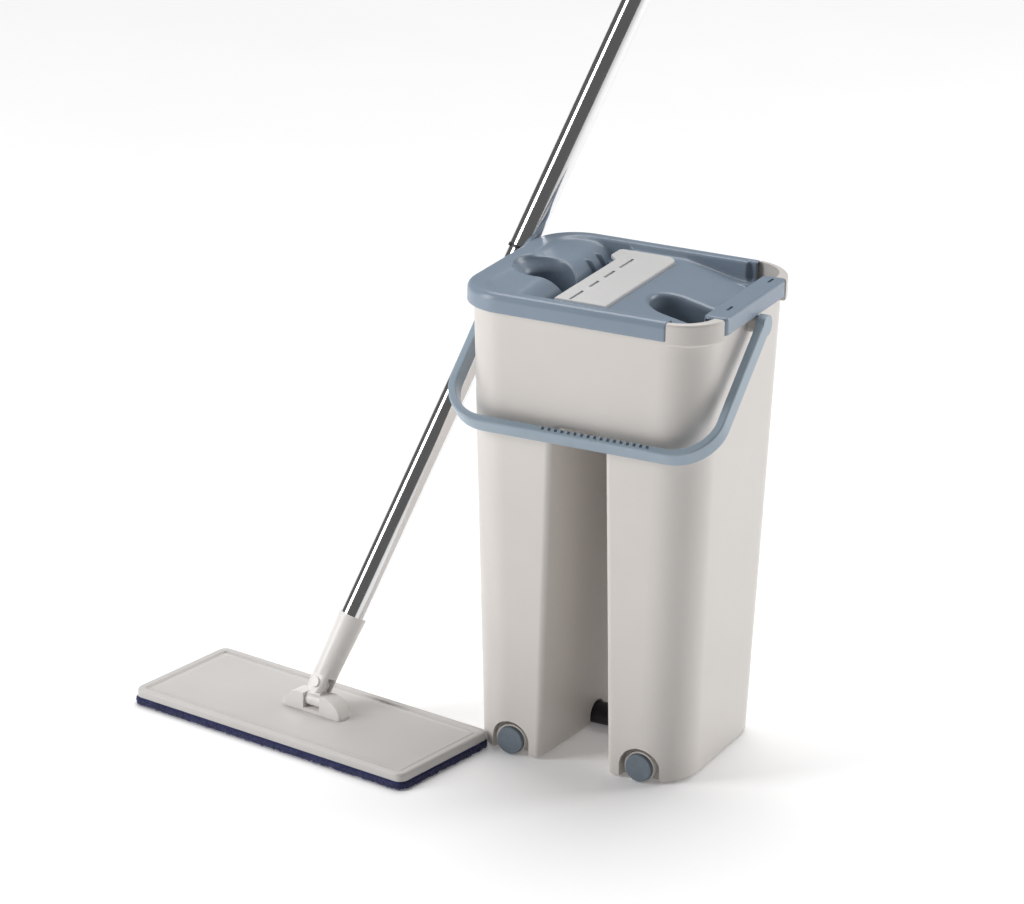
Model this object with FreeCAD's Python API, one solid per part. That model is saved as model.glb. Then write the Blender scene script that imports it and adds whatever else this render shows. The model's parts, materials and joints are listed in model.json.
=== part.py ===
import FreeCAD, Part
import math
import os

# Flat mop with a two-chamber self-wringing bucket.  Millimetres, +Z up.
# The set is laid out around the bucket: X to its right, Y to its back, Z up from the floor,
# and is moved at the very end so that the origin is under the middle of the whole set.

V = FreeCAD.Vector

# ---------------------------------------------------------------- driving dimensions
SET_HEIGHT = 420.0            # bucket with its cover on
RIM_WIDTH = 229.0             # bucket wall's outline carried up to its rim
RIM_SIDE = 4.4                # the rim overhangs that outline by this at each end
RIM_DEPTH = 201.0             # cover rim, front to back
RIM_RADIUS = 38.0             # vertical corners
RIM_CORNER = 44.0             # the same on the overhanging rim
DRAFT = 0.0293                # taper of each bucket wall, mm per mm
WALL = 2.5

BODY_TOP = 416.0
BODY_BASE = 1.0
RIM_LIP = 2.9                 # how far the rim stands proud of the bucket wall
SKIRT = 16.5                  # height of the rim's outer band

SLOT_HALF_FRONT = 33.5        # gap between the two legs, at the floor
SLOT_HALF_BACK = 16.0
SLOT_NARROWING = 7.5          # each side, from the floor to the top of the gap
SLOT_TOP = 309.0
SLOT_ROUND = 12.0
LEG_EDGE_ROUND = 5.0
FOOT_ROUND = 4.0

DRAIN_X = 61.0
DRAIN_Z = 13.0
DRAIN_NOTCH = 18.0
DRAIN_DEPTH = 12.0
COLLAR_STEP = 3.0             # the plug's collar stops this far behind the wall
PLUG_R = 12.2
PORT_R = 8.0

ROLLER_Y = 12.0
ROLLER_R = 10.0
ROLLER_ROOM = 2.0             # round the roller, in its pockets
ROLLER_HALF = 31.0
AXLE_R = 3.0

COVER_END_X = 79.0            # the cover stops here and leaves the right end open
SQUEEZE_LEFT = -52.0
SQUEEZE_RIGHT = -34.5
SQUEEZE_HALF = 75.0
GUIDE_X = -68.0
GUIDE_R = 16.0
TRAY_FLOOR = 414.0
TRAY_INNER_Y = 86.0
TRAY_INNER_X = -99.0
TRAY_SLOPE = 0.21
LEFT_RECESS = (-72.0, -3.0, 23.0)     # x, y, radius of the pole recess beside the squeeze slot
RIGHT_RECESS = (54.0, -12.0, 21.0)    # the same beside the wash slot

BAIL_PIVOT_Y = 4.0
BAIL_PIVOT_Z = 395.5
BAIL_INNER_X = 119.3
BAIL_THICK = 7.4
BAIL_WIDTH = 16.5
BAIL_BAR_Y = -103.5
BAIL_BAR_Z = 306.0
BAIL_BEND = 34.0
BAIL_EYE_R = 9.2

PLATE_LENGTH = 300.0
PLATE_WIDTH = 124.0
PAD_THICK = 7.0
HOOK_Y = 44.0                 # the two hook strips under the plate
PLATE_TOP = 13.4
LIP_TOP = 15.2
PLATE_OFFSET = (-4.0, -4.0)   # plate's middle from the bracket's middle, along and across
HEAD_X = -238.3               # middle of the bracket
HEAD_Y = -108.8
HEAD_YAW = -10.5              # degrees about Z

PIN_Z = 23.6                  # pin that lets the pole tip over the head's long sides
LINK_LENGTH = 14.5            # from that pin to the cross pin
CLEARANCE_TO_RIM = 13.0       # pole axis to the cover's rim
TUBE_R = 11.0
TUBE_BORE = 10.5
OUTER_TUBE_R = 11.7
OUTER_TUBE_BORE = 11.05
CONNECTOR_END = 66.0          # along the pole, from the cross pin
LOWER_TUBE_END = 690.0
OUTER_TUBE_START = 420.0
OUTER_TUBE_END = 1128.0
POLE_END = 1170.0

BAIL_PIN_R = 3.0
BOSS_R = 7.5
FOOT_R = 9.0
BAR_INNER = 97.0              # clip bar over the right wall
BAR_OUTER = RIM_WIDTH / 2 + RIM_SIDE
BAR_FRONT = -66.0
BAR_BACK = 61.0
PLATE_LEFT = -33.5            # scraper plate
PLATE_RIGHT = 13.5
SCRAPER_SLOT_X = -20.0
SCRAPER_SLOTS = [(-74.0, -48.0), (-35.5, -17.0), (-6.0, 14.5), (25.0, 52.5)]
GRIP_SLOTS = 17               # slots in the bail's crossbar
GRIP_START = -26.0
GRIP_STEP = 6.0
SCREW_X = (-24.5, 24.5)
SCREW_R = 1.5
SCREW_SEAT = 11.2             # underside of the plate's deck
EAR_GAP = 9.0
EAR_TOP = 29.8
EAR_END = 33.0
EAR_HALF = 8.0
LONG_PIN_R = 2.5
CROSS_PIN_R = 2.5
CHEEK_R = 8.8                 # connector's cheeks about the cross pin
CHEEK_Y = 9.6
HANG_HOLE_R = 4.5

# ---------------------------------------------------------------- derived places
ROLLER_Z = ROLLER_R + 0.8
AXLE_HALF = ROLLER_HALF + 9.0
DIVIDER_X = 24.0              # wall between the two chambers, above the legs
DIVIDER_TOP = 384.0           # just under the cover's inner walls
CROSS_Z = PIN_Z + LINK_LENGTH


# ---------------------------------------------------------------- helpers
def rounded_rect(width, depth, radius, z, cx=0.0, cy=0.0):
    """A closed wire in the plane Z = z."""
    hx = width / 2.0
    hy = depth / 2.0
    r = radius
    k = r * (1.0 - math.sqrt(0.5))
    edges = []
    corners = [(1, -1), (1, 1), (-1, 1), (-1, -1)]
    ends = []
    for sx, sy in corners:
        a = V(cx + sx * (hx - r), cy + sy * hy, z)
        m = V(cx + sx * (hx - k), cy + sy * (hy - k), z)
        b = V(cx + sx * hx, cy + sy * (hy - r), z)
        if sx * sy > 0:
            a, b = b, a
        ends.append((a, b))
        edges.append(Part.Arc(a, m, b).toShape())
    for i in range(4):
        start = ends[i][1]
        finish = ends[(i + 1) % 4][0]
        edges.append(Part.LineSegment(start, finish).toShape())
    return Part.Wire(Part.__sortEdges__(edges))


def rounded_block(width, depth, radius, z0, z1, cx=0.0, cy=0.0):
    face = Part.Face(rounded_rect(width, depth, radius, z0, cx, cy))
    return face.extrude(V(0, 0, z1 - z0))


def tapered_block(inset, z0, z1, radius):
    """The bucket's tapering outline, moved in by inset, between two heights."""
    wires = []
    for z in (z0, z1):
        drop = SET_HEIGHT - SKIRT - z
        shrink = 2.0 * (RIM_LIP + inset + DRAFT * drop)
        wires.append(rounded_rect(RIM_WIDTH - shrink, RIM_DEPTH - shrink, radius, z))
    return Part.makeLoft(wires, True, True)


def box(x0, x1, y0, y1, z0, z1):
    return Part.makeBox(x1 - x0, y1 - y0, z1 - z0, V(x0, y0, z0))


def rod(radius, start, finish):
    axis = finish - start
    return Part.makeCylinder(radius, axis.Length, start, axis)


def ring(outer, inner, start, finish):
    return rod(outer, start, finish).cut(rod(inner, start, finish))


def prism(points, direction):
    """Extrude the polygon through points along direction."""
    wire = Part.makePolygon([V(*p) for p in points] + [V(*points[0])])
    return Part.Face(wire).extrude(V(*direction))


def fuse(shapes):
    result = shapes[0]
    for shape in shapes[1:]:
        result = result.fuse(shape)
    return result.removeSplitter()


def fillet_where(shape, radius, test):
    edges = [edge for edge in shape.Edges if test(edge)]
    if not edges:
        return shape
    return shape.makeFillet(radius, edges)


def in_box(edge, x=None, y=None, z=None):
    b = edge.BoundBox
    spans = ((x, b.XMin, b.XMax), (y, b.YMin, b.YMax), (z, b.ZMin, b.ZMax))
    for span, low, high in spans:
        if span is not None and (low < span[0] or high > span[1]):
            return False
    return True


# ---------------------------------------------------------------- bucket
def leg_gap(extra):
    """The space between the legs, grown by extra on its sides and top."""
    wires = []
    for y, half in ((-RIM_DEPTH / 2, SLOT_HALF_FRONT), (RIM_DEPTH / 2, SLOT_HALF_BACK)):
        low = half + extra
        high = half - SLOT_NARROWING + extra
        top = SLOT_TOP + extra
        r = min(SLOT_ROUND, 0.8 * high)
        k = r * (1.0 - math.sqrt(0.5))
        p = [V(-low, y, -2), V(-high, y, top - r), V(-high + r, y, top)]
        q = [V(low, y, -2), V(high, y, top - r), V(high - r, y, top)]
        edges = [
            Part.LineSegment(p[0], p[1]).toShape(),
            Part.Arc(p[1], V(-high + k, y, top - k), p[2]).toShape(),
            Part.LineSegment(p[2], q[2]).toShape(),
            Part.Arc(q[2], V(high - k, y, top - k), q[1]).toShape(),
            Part.LineSegment(q[1], q[0]).toShape(),
            Part.LineSegment(q[0], p[0]).toShape(),
        ]
        wires.append(Part.Wire(edges))
    return Part.makeLoft(wires, True, True)


def front_y(z):
    """Y of the bucket's front face at a height."""
    return -(RIM_DEPTH / 2 - RIM_LIP - DRAFT * (SET_HEIGHT - SKIRT - z))


def drain_notch(side, extra):
    x = side * DRAIN_X
    r = DRAIN_NOTCH + extra
    y0 = -RIM_DEPTH / 2
    y1 = front_y(DRAIN_Z) + DRAIN_DEPTH + extra
    arch = rod(r, V(x, y0, DRAIN_Z), V(x, y1, DRAIN_Z))
    return arch.fuse(box(x - r, x + r, y0, y1, -2, DRAIN_Z))


def drain_back_y():
    return front_y(DRAIN_Z) + DRAIN_DEPTH


def cross_rod(radius, end_x):
    """Rod along X from the middle of the gap, on the roller's axis."""
    return rod(radius, V(0, ROLLER_Y, ROLLER_Z), V(end_x, ROLLER_Y, ROLLER_Z))


def bucket_body():
    outer = tapered_block(0.0, BODY_BASE, BODY_TOP, RIM_RADIUS)
    outer = outer.cut(leg_gap(0.0))
    outer = fillet_where(outer, LEG_EDGE_ROUND,
                         lambda e: in_box(e, x=(-34.5, 34.5), y=(-101, -80)) and e.BoundBox.ZLength > 250)
    outer = fillet_where(outer, FOOT_ROUND, lambda e: in_box(e, z=(BODY_BASE - 0.1, BODY_BASE + 0.1)))

    cavity = tapered_block(WALL, BODY_BASE + WALL, BODY_TOP + 1, RIM_RADIUS - WALL)
    keep_out = [leg_gap(WALL)]
    for side in (-1, 1):
        keep_out.append(drain_notch(side, WALL))
        keep_out.append(cross_rod(ROLLER_R + ROLLER_ROOM + WALL, side * (ROLLER_HALF + 2.0 + WALL)))
        keep_out.append(cross_rod(AXLE_R + 4.0, side * (AXLE_HALF + 3.0)))
    keep_out.append(box(DIVIDER_X - 1.3, DIVIDER_X + 1.3, -RIM_DEPTH, RIM_DEPTH,
                        SLOT_TOP - 20, DIVIDER_TOP))
    for shape in keep_out:
        cavity = cavity.cut(shape)
    body = outer.cut(cavity)

    for side in (-1, 1):
        body = body.cut(drain_notch(side, 0.0))
        x = side * DRAIN_X
        back = drain_back_y()
        mouth = V(x, front_y(DRAIN_Z) + COLLAR_STEP, DRAIN_Z)
        collar = ring(PLUG_R + 1.8, PLUG_R + 0.4, V(x, back + 0.5, DRAIN_Z), mouth)
        notch_span = box(x - DRAIN_NOTCH, x + DRAIN_NOTCH, -RIM_DEPTH, RIM_DEPTH, BODY_BASE, SLOT_TOP)
        collar = collar.common(notch_span)
        body = body.fuse(collar)
        body = body.cut(rod(PORT_R, V(x, back - 1, DRAIN_Z), V(x, back + 2 * WALL, DRAIN_Z)))
        body = body.cut(cross_rod(ROLLER_R + ROLLER_ROOM, side * (ROLLER_HALF + 2.0)))
        body = body.cut(cross_rod(AXLE_R, side * AXLE_HALF))
    reach = ROLLER_R + ROLLER_ROOM
    half = ROLLER_HALF + 2.0
    body = body.cut(box(-half, half, ROLLER_Y - reach, ROLLER_Y + reach, -5, ROLLER_Z))

    band = corner_band()
    bosses = [bail_boss(side) for side in (-1, 1)]
    for boss in bosses:
        body = body.fuse(boss)
    body = body.fuse(band)
    for side in (-1, 1):
        inner = V(side * 104.0, BAIL_PIVOT_Y, BAIL_PIVOT_Z)
        body = body.cut(rod(BAIL_PIN_R, inner, V(side * 125.0, BAIL_PIVOT_Y, BAIL_PIVOT_Z)))
    for x, y in foot_places():
        body = body.cut(rod(FOOT_R, V(x, y, 0), V(x, y, BODY_BASE + 1.0)))
    return body.removeSplitter()


def corner_band():
    """The bucket's own rim, which shows only at the open right end."""
    top = SET_HEIGHT - 0.8
    low = SET_HEIGHT - SKIRT - 4.0
    grow = 2.0 * 0.3
    outer = rounded_block(RIM_WIDTH + 2 * RIM_SIDE - grow, RIM_DEPTH - grow, RIM_CORNER, low, top)
    outer = fillet_where(outer, 2.5, lambda e: in_box(e, z=(low - 0.1, low + 0.1))
                         or in_box(e, z=(top - 0.1, top + 0.1)))
    inside = grow + 11.0
    inner = rounded_block(RIM_WIDTH - inside, RIM_DEPTH - inside, RIM_RADIUS - 5.5, low - 1, top + 1)
    band = outer.cut(inner)
    band = band.common(box(COVER_END_X + 0.4, RIM_WIDTH, -RIM_DEPTH, RIM_DEPTH, low - 1, top + 1))
    return band.cut(box(RIM_WIDTH / 2 - 12, RIM_WIDTH, BAR_FRONT - 0.4, BAR_BACK + 0.4, low - 2, top + 2))


def bail_boss(side):
    a = V(side * 106.0, BAIL_PIVOT_Y, BAIL_PIVOT_Z)
    b = V(side * (BAIL_INNER_X - 0.4), BAIL_PIVOT_Y, BAIL_PIVOT_Z)
    return rod(BOSS_R, a, b)


def foot_places():
    return [(sx * 67.0, sy * 48.0) for sx in (-1, 1) for sy in (-1, 1)]


def foot_pads():
    pads = []
    for x, y in foot_places():
        pads.append(rod(FOOT_R - 0.1, V(x, y, 0), V(x, y, BODY_BASE + 1.0)))
    return Part.makeCompound(pads)


def drain_plug(side):
    x = side * DRAIN_X
    face = front_y(DRAIN_Z) - 0.6
    shoulder = drain_back_y() - 2.0
    head = rod(PLUG_R, V(x, face, DRAIN_Z), V(x, shoulder, DRAIN_Z))
    head = fillet_where(head, 1.2, lambda e: in_box(e, y=(face - 0.1, face + 0.1)))
    stem = rod(PORT_R - 0.05, V(x, shoulder, DRAIN_Z), V(x, drain_back_y() + 7, DRAIN_Z))
    return head.fuse(stem).removeSplitter()


def drain_gasket(side):
    x = side * DRAIN_X
    seat = V(x, drain_back_y(), DRAIN_Z)
    return ring(PLUG_R - 1.2, PORT_R + 0.05, seat - V(0, 2.0, 0), seat)


def floor_roller():
    centre = V(0, ROLLER_Y, ROLLER_Z)
    half = V(ROLLER_HALF, 0, 0)
    body = rod(ROLLER_R, centre - half, centre + half)
    body = fillet_where(body, 3.0, lambda e: in_box(e, x=(-ROLLER_HALF - 0.1, -ROLLER_HALF + 0.1))
                        or in_box(e, x=(ROLLER_HALF - 0.1, ROLLER_HALF + 0.1)))
    return body.cut(rod(AXLE_R + 0.06, centre - half * 1.1, centre + half * 1.1))


def roller_axle():
    return rod(AXLE_R, V(-AXLE_HALF, ROLLER_Y, ROLLER_Z), V(AXLE_HALF, ROLLER_Y, ROLLER_Z))


# ---------------------------------------------------------------- cover
def tray_floor_z(x):
    start = PLATE_RIGHT + 2.0
    return TRAY_FLOOR - TRAY_SLOPE * max(0.0, x - start)


def recess_cut(recess, reach_x, z0, z1, grow=0.0):
    """A vertical half-round recess open towards reach_x."""
    x, y, r = recess
    r = r + grow
    shape = rod(r, V(x, y, z0), V(x, y, z1))
    return shape.fuse(box(min(x, reach_x), max(x, reach_x), y - r, y + r, z0, z1))


def cover_well(grow, z0, z1):
    """Plan of the sunken part of the cover, open at the right end."""
    end = COVER_END_X + 60
    width = end - TRAY_INNER_X + 2 * grow
    return rounded_block(width, 2 * TRAY_INNER_Y + 2 * grow, 24.0 + grow, z0, z1, (end + TRAY_INNER_X) / 2.0)


def cover_tray():
    top = SET_HEIGHT
    low = SET_HEIGHT - SKIRT
    t = 2.2
    shell = rounded_block(RIM_WIDTH + 2 * RIM_SIDE, RIM_DEPTH, RIM_CORNER, low, top)
    shell = fillet_where(shell, 6.0, lambda e: in_box(e, z=(top - 0.1, top + 0.1)))
    under = rounded_block(RIM_WIDTH - 2 * t, RIM_DEPTH - 2 * t, RIM_RADIUS - t, low - 1, BODY_TOP + 0.4)
    deep = 385.0
    shell = shell.cut(under).cut(cover_well(0.0, deep - 1, top + 1))
    outer_well = cover_well(t, deep, top - 1.0)
    walls = outer_well.cut(cover_well(0.0, deep - 1, top + 1))
    pan = outer_well.common(tray_floor(t))
    cover = fuse([shell, walls, pan, squeeze_guide(t), slot_walls(t)])
    y_cut = SQUEEZE_HALF
    cover = cover.cut(box(SQUEEZE_LEFT, SQUEEZE_RIGHT, -y_cut, y_cut, 300, top + 5))
    cover = cover.cut(recess_cut(LEFT_RECESS, SQUEEZE_RIGHT, 300, top + 5))
    cover = cover.cut(recess_flare())
    cover = cover.cut(recess_cut(RIGHT_RECESS, COVER_END_X + 50, 300, top + 5))
    cover = cover.fuse(recess_wall(LEFT_RECESS, SQUEEZE_LEFT, t, 372.0, 404.0))
    cover = cover.fuse(recess_wall(RIGHT_RECESS, COVER_END_X, t, 372.0, 402.0))
    cover = cover.fuse(guide_ribs())
    cover = cover.common(box(-RIM_WIDTH, COVER_END_X, -RIM_DEPTH, RIM_DEPTH, 300, top + 5))
    cover = cover.cut(plate_seat())
    return cover.removeSplitter()


def tray_floor(t):
    """Side view of the pan: low on the left, level under the scraper, falling to the right."""
    end = COVER_END_X + 70
    pts = [
        (TRAY_INNER_X - t, 0, 404.0), (TRAY_INNER_X - t, 0, 418.5),
        (TRAY_INNER_X + 5, 0, 417.5), (TRAY_INNER_X + 16, 0, 409.0),
        (GUIDE_X, 0, 406.0), (SQUEEZE_LEFT, 0, 402.0),
        (SQUEEZE_RIGHT, 0, 402.0), (SQUEEZE_RIGHT, 0, TRAY_FLOOR), (PLATE_RIGHT + 2.0, 0, TRAY_FLOOR),
        (end, 0, tray_floor_z(end)), (end, 0, tray_floor_z(end) - t), (PLATE_RIGHT + 2.0, 0, TRAY_FLOOR - t),
        (SQUEEZE_RIGHT + t, 0, TRAY_FLOOR - t), (SQUEEZE_RIGHT + t, 0, 402.0 - t),
    ]
    points = [(x, -RIM_DEPTH / 2, z) for x, _, z in pts]
    return prism(points, (0, RIM_DEPTH, 0))


def squeeze_guide(t):
    """The rounded beam that the wet pad is drawn over, hollow underneath."""
    z = TRAY_FLOOR + 2.0 - GUIDE_R
    ends = TRAY_INNER_Y + 1.0
    beam = ring(GUIDE_R, GUIDE_R - t, V(GUIDE_X, -ends, z), V(GUIDE_X, ends, z))
    beam = beam.cut(box(GUIDE_X - 40, GUIDE_X + 40, -ends - 1, ends + 1, z - 30, z))
    web = box(SQUEEZE_LEFT - t, SQUEEZE_LEFT, -SQUEEZE_HALF - t, SQUEEZE_HALF + t, 340.0, z + 1.0)
    return beam.fuse(web)


def slot_walls(t):
    """Walls of the wringing channel under the scraper, and its two ends."""
    end = SQUEEZE_HALF + t
    parts = [box(SQUEEZE_RIGHT, SQUEEZE_RIGHT + t, -end, end, 340.0, TRAY_FLOOR - 0.1)]
    for y in (-end, SQUEEZE_HALF):
        parts.append(box(SQUEEZE_LEFT - t, SQUEEZE_RIGHT + t, y, y + t, 340.0, 403.0))
    return fuse(parts)


def recess_wall(recess, reach_x, t, z0, z1):
    outer = recess_cut(recess, reach_x, z0, z1, t)
    inner = recess_cut(recess, reach_x, z0 - 1, z1 + 1)
    far = reach_x + math.copysign(80.0, reach_x - recess[0])
    beyond = box(min(reach_x, far), max(reach_x, far), -RIM_DEPTH, RIM_DEPTH, z0 - 2, z1 + 2)
    return outer.cut(inner).cut(beyond)


def recess_flare():
    """Cone that opens the left recess towards the rim."""
    x, y, r = LEFT_RECESS
    low = Part.Wire([Part.Circle(V(x, y, 396.0), V(0, 0, 1), r - 1.0).toShape()])
    high = Part.Wire([Part.Circle(V(x - 3.0, y - 5.0, SET_HEIGHT + 1), V(0, 0, 1), r + 8.0).toShape()])
    return Part.makeLoft([low, high], True)


def guide_ribs():
    ribs = []
    z = TRAY_FLOOR + 2.0 - GUIDE_R
    for y in (44.0, 64.0):
        disc = rod(GUIDE_R + 3.2, V(GUIDE_X, y, z), V(GUIDE_X, y + 1.6, z))
        ribs.append(disc.common(box(GUIDE_X + 4, SQUEEZE_LEFT + 4.0, y - 1, y + 3, z - 14, z + 14)))
    return fuse(ribs)


def plate_seat():
    """Two clip holes under the scraper plate, and its drain slots carried through the pan."""
    x = SCRAPER_SLOT_X + 14.0
    holes = [box(x - 2, x + 2, y - 4, y + 4, 400, TRAY_FLOOR + 1) for y in (-55, 55)]
    for y0, y1 in SCRAPER_SLOTS:
        holes.append(box(SCRAPER_SLOT_X - 2.2, SCRAPER_SLOT_X + 2.2, y0 - 0.8, y1 + 0.8, 400, TRAY_FLOOR + 1))
    return fuse(holes)


def scraper_outline(z):
    """Plan of the scraper plate: straight, with one rounded corner and a tab at the back."""
    left = PLATE_LEFT
    right = PLATE_RIGHT
    front = -76.0
    back = 75.0
    r = 13.0
    k = r * (1.0 - math.sqrt(0.5))
    tab = 9.0
    neck_y = 46.0
    points = [V(left, front, z), V(right, front, z), V(right, back - r, z)]
    edges = [Part.LineSegment(points[i], points[i + 1]).toShape() for i in range(2)]
    edges.append(Part.Arc(V(right, back - r, z), V(right - k, back - k, z), V(right - r, back, z)).toShape())
    rest = [V(right - r, back, z), V(left - tab + 3, back, z), V(left - tab, back - 3, z),
            V(left - tab, neck_y + 10, z), V(left, neck_y, z), V(left, front, z)]
    edges += [Part.LineSegment(rest[i], rest[i + 1]).toShape() for i in range(5)]
    return Part.Wire(edges)


def scraper_plate():
    low = TRAY_FLOOR + 0.1
    top = TRAY_FLOOR + 3.4
    plate = Part.Face(scraper_outline(low)).extrude(V(0, 0, top - low))
    plate = fillet_where(plate, 1.2, lambda e: in_box(e, z=(top - 0.1, top + 0.1)))
    for y0, y1 in SCRAPER_SLOTS:
        plate = plate.cut(box(SCRAPER_SLOT_X - 1.3, SCRAPER_SLOT_X + 1.3, y0, y1, low - 1, top + 1))
    clips = [box(SCRAPER_SLOT_X + 12.3, SCRAPER_SLOT_X + 15.7, y - 3.7, y + 3.7, TRAY_FLOOR - 5, low + 0.2)
             for y in (-55, 55)]
    return fuse([plate] + clips)


def scraper_lip():
    """Rubber blade under the plate's left edge that wipes the pad."""
    x = PLATE_LEFT
    pts = [(x + 2.2, TRAY_FLOOR), (x - 0.2, TRAY_FLOOR), (x - 2.6, TRAY_FLOOR - 16),
           (x - 1.2, TRAY_FLOOR - 17), (x - 0.1, TRAY_FLOOR - 15)]
    points = [(px, -72.0, pz) for px, pz in pts]
    blade = prism(points, (0, 112.0, 0))
    return blade.cut(box(SQUEEZE_RIGHT, SQUEEZE_RIGHT + 20, -90, 90, TRAY_FLOOR - 40, TRAY_FLOOR))


def clip_bar():
    """Long clip that snaps over the right-hand wall and holds the cover down."""
    top = SET_HEIGHT
    low = SET_HEIGHT - 15.0
    outline = rounded_block(BAR_OUTER - BAR_INNER, BAR_BACK - BAR_FRONT, 6.0, low, top,
                            (BAR_OUTER + BAR_INNER) / 2.0, (BAR_BACK + BAR_FRONT) / 2.0)
    outline = fillet_where(outline, 3.0, lambda e: in_box(e, z=(top - 0.1, top + 0.1)))
    wall_gap = box(107.6, 112.6, BAR_FRONT - 1, BAR_BACK + 1, low - 1, BODY_TOP + 0.3)
    inside = box(BAR_INNER + 2.2, 105.4, BAR_FRONT - 1, BAR_BACK - 4, low - 1, top - 2.4)
    outside = box(114.2, BAR_OUTER - 2.2, BAR_FRONT - 1, BAR_BACK - 4, low - 1, top - 2.4)
    bar = outline.cut(wall_gap).cut(inside).cut(outside)
    bar = bar.cut(box(BAR_INNER - 1, 106.0, BAR_FRONT - 1, BAR_BACK + 1, low - 1, low + 5.0))
    for y in (-38.0, 48.0):
        bar = bar.cut(box(108.2, 110.6, y - 5.5, y + 5.5, BODY_TOP + 0.2, top + 1))
    return bar


# ---------------------------------------------------------------- bail
def bail_frame():
    """Unit vectors in the bail's plane: along the arms, and across its thickness."""
    along = V(0, BAIL_BAR_Y - BAIL_PIVOT_Y, BAIL_BAR_Z - BAIL_PIVOT_Z)
    reach = along.Length
    along.normalize()
    across = V(0, along.z, -along.y)
    return along, across, reach


def bail_path(half, reach, radius):
    """Wire in the bail's plane from one pivot, round two bends, to the other pivot."""
    along, _, _ = bail_frame()
    pivot = V(0, BAIL_PIVOT_Y, BAIL_PIVOT_Z)

    def at(x, s):
        return pivot + V(x, 0, 0) + along * s

    k = radius * (1.0 - math.sqrt(0.5))
    edges = [
        Part.LineSegment(at(-half, 0), at(-half, reach - radius)).toShape(),
        Part.Arc(at(-half, reach - radius), at(-half + k, reach - k), at(-half + radius, reach)).toShape(),
        Part.LineSegment(at(-half + radius, reach), at(half - radius, reach)).toShape(),
        Part.Arc(at(half - radius, reach), at(half - k, reach - k), at(half, reach - radius)).toShape(),
        Part.LineSegment(at(half, reach - radius), at(half, 0)).toShape(),
    ]
    return edges


def carry_handle():
    along, across, reach = bail_frame()
    half_in = BAIL_INNER_X
    half_out = BAIL_INNER_X + BAIL_THICK
    inner = bail_path(half_in, reach - BAIL_THICK / 2, BAIL_BEND)
    outer = bail_path(half_out, reach + BAIL_THICK / 2, BAIL_BEND + BAIL_THICK)
    caps = []
    for sx in (-1, 1):
        pivot = V(0, BAIL_PIVOT_Y, BAIL_PIVOT_Z)
        caps.append(Part.LineSegment(pivot + V(sx * half_in, 0, 0), pivot + V(sx * half_out, 0, 0)).toShape())
    wire = Part.Wire(Part.__sortEdges__(inner + outer + caps))
    plate = Part.Face(wire).extrude(across * BAIL_WIDTH)
    plate.translate(across * (-BAIL_WIDTH / 2))
    plate = plate.makeFillet(1.8, [e for e in plate.Edges if is_bail_rim(e, across)])
    for sx in (-1, 1):
        a = V(sx * half_in, BAIL_PIVOT_Y, BAIL_PIVOT_Z)
        b = V(sx * half_out, BAIL_PIVOT_Y, BAIL_PIVOT_Z)
        plate = plate.fuse(rod(BAIL_EYE_R, a, b))
    for sx in (-1, 1):
        a = V(sx * (half_in - 2), BAIL_PIVOT_Y, BAIL_PIVOT_Z)
        b = V(sx * (half_out - 1.8), BAIL_PIVOT_Y, BAIL_PIVOT_Z)
        plate = plate.cut(rod(BAIL_PIN_R + 0.06, a, b))
    for i in range(GRIP_SLOTS):
        plate = plate.cut(grip_slot(i, along, across, reach))
    return plate.removeSplitter()


def is_bail_rim(edge, across):
    """True on the long edges that border the bail's two broad sides."""
    middle = edge.valueAt((edge.FirstParameter + edge.LastParameter) / 2.0)
    height = (middle - V(0, BAIL_PIVOT_Y, BAIL_PIVOT_Z)).dot(across)
    return abs(abs(height) - BAIL_WIDTH / 2) < 0.01 and edge.Length > 7.0


def grip_slot(index, along, across, reach):
    x = GRIP_START + index * GRIP_STEP
    edge = along * (reach - BAIL_THICK / 2 + 1.2) + across * (BAIL_WIDTH / 2)
    slot = Part.makeBox(2.4, 6.0, 6.0, V(-1.2, -3.0, -3.0))
    slot.rotate(V(0, 0, 0), V(0, 1, 0), 20.0)
    turn = math.degrees(math.atan2(-along.z, -along.y))
    slot.rotate(V(0, 0, 0), V(1, 0, 0), turn)
    slot.translate(V(x, BAIL_PIVOT_Y, BAIL_PIVOT_Z) + edge)
    return slot


def bail_pin(side):
    """Spigot in the bucket's boss that the bail's blind eye turns on."""
    return rod(BAIL_PIN_R - 0.02, V(side * 105.0, BAIL_PIVOT_Y, BAIL_PIVOT_Z),
               V(side * (BAIL_INNER_X + BAIL_THICK - 2.1), BAIL_PIVOT_Y, BAIL_PIVOT_Z))


# ---------------------------------------------------------------- mop head, made at the origin
def place_head(shape):
    """Move a head part from its own frame (X along the head) to its place on the floor."""
    shape = shape.copy()
    shape.rotate(V(0, 0, 0), V(0, 0, 1), HEAD_YAW)
    shape.translate(V(HEAD_X, HEAD_Y, 0))
    return shape


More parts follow.
